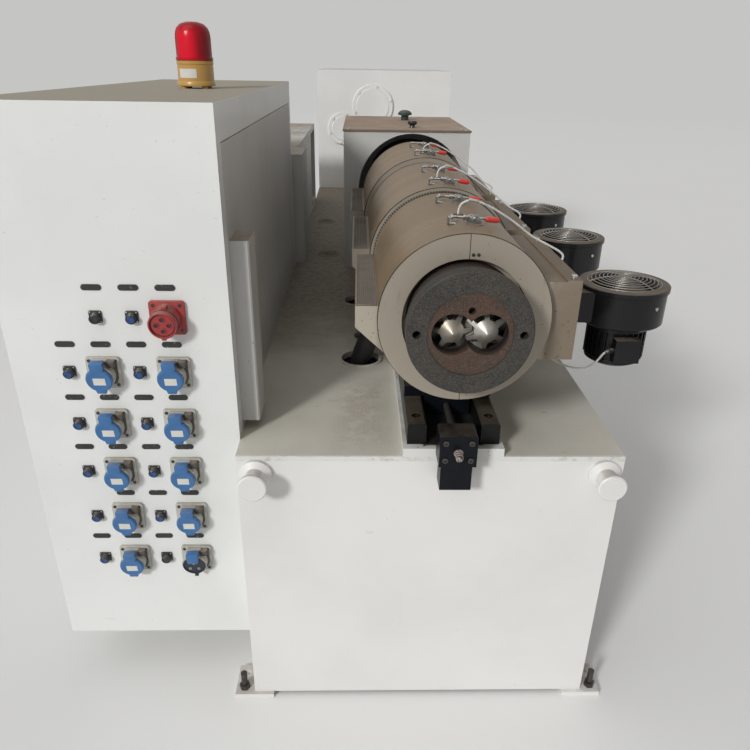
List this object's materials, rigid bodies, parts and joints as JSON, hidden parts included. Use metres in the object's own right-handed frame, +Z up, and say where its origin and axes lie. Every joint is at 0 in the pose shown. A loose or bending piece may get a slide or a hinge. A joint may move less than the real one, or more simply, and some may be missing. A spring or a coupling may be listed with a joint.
{
  "type": "plastic extruder",
  "caption": "Conical twin-screw plastic extruder on a box base, with heated barrel, cooling fans, drive housings and a side cabinet.",
  "frame": {"origin": "centre of the four corner anchor bolt holes, at floor level", "axes": "+Z up, +Y from the discharge end towards the gearbox, +X towards the cooling fans"},
  "size_m": [1.475, 4.607, 1.598],
  "materials": {
    "white_paint": "satin",
    "deck_paint": "satin, dusty",
    "grey_white_paint": "satin",
    "lid_paint": "dusty",
    "dark_hardware": "blackened",
    "rail_steel": "machined",
    "black_steel": "satin",
    "rod_steel": "machined, light rust",
    "barrel_steel": "oxidised",
    "flange_steel": "oxidised",
    "insert_steel": "rusty",
    "screw_steel": "polished",
    "cover_paint": "satin",
    "band_steel": "dark",
    "fan_black": "gloss, dusty rim",
    "guard_wire": "dull",
    "zinc_steel": "zinc plated",
    "red_sleeve": "soft",
    "lead_braid": "braided",
    "hose_rubber": "corrugated",
    "knob_black": "satin",
    "breather_green": "satin",
    "connector_plastic": "satin",
    "flange_plastic": "satin",
    "socket_blue": "satin",
    "socket_red": "satin",
    "beacon_yellow": "gloss",
    "beacon_red": "translucent"
  },
  "bodies": {
    "machine": {"base_front_panel": "white_paint", "base_rear_panel": "white_paint", "base_left_panel": "white_paint", "base_right_panel": "white_paint", "deck_plate": "deck_paint", "foot_plates": "white_paint", "levelling_bolts": "dark_hardware", "lifting_bollards": "white_paint", "slide_pad": "white_paint", "slide_rails": "rail_steel", "adjuster_block": "black_steel", "adjuster_rod": "rod_steel", "barrel_carriage": "black_steel", "barrel": "barrel_steel", "head_flange": "flange_steel", "head_insert": "insert_steel", "end_ring": "cover_paint", "heater_cover_1": "cover_paint", "heater_cover_2": "cover_paint", "heater_cover_3": "cover_paint", "cover_bands": "band_steel", "outlet_ducts": "cover_paint", "outlet_grilles": "band_steel", "inlet_ducts": "cover_paint", "inlet_strips": "cover_paint", "fan_housings": "fan_black", "fan_guards": "guard_wire", "fan_motors": "fan_black", "cover_latches": "zinc_steel", "latch_sleeves": "red_sleeve", "probe_lead_1": "lead_braid", "probe_lead_2": "lead_braid", "probe_lead_3": "lead_braid", "motor_lead": "lead_braid", "lead_clips": "fan_black", "air_hose": "hose_rubber", "feed_housing": "grey_white_paint", "feed_lid": "lid_paint", "lid_knob": "knob_black", "breather_cap": "breather_green", "distribution_gearbox": "grey_white_paint", "coupling_guard": "grey_white_paint", "gearbox_housing": "white_paint", "bearing_covers": "white_paint", "control_cabinet": "white_paint", "cabinet_door": "grey_white_paint", "cabinet_riser": "grey_white_paint", "rear_cabinet": "grey_white_paint", "cable_channel": "white_paint", "name_plates": "knob_black", "small_connectors": "connector_plastic", "socket_flanges": "flange_plastic", "blue_sockets": "socket_blue", "red_socket": "socket_red", "beacon_base": "beacon_yellow", "beacon_lens": "beacon_red"},
    "screw_left": {"screw_left": "screw_steel"},
    "screw_right": {"screw_right": "screw_steel"}
  },
  "joints": [
    {"name": "screw_left_turn", "type": "hinge", "parent": "machine", "child": "screw_left", "pos_m": [0.0155, -2.317, 1.05], "axis": [-0.0168, 0.9999, 0], "continuous": true},
    {"name": "screw_right_turn", "type": "hinge", "parent": "machine", "child": "screw_right", "pos_m": [0.0805, -2.317, 1.05], "axis": [0.0168, 0.9999, 0], "continuous": true}
  ],
  "couplings": [
    {"joint": "screw_right_turn", "follows": "screw_left_turn", "ratio": -1}
  ]
}
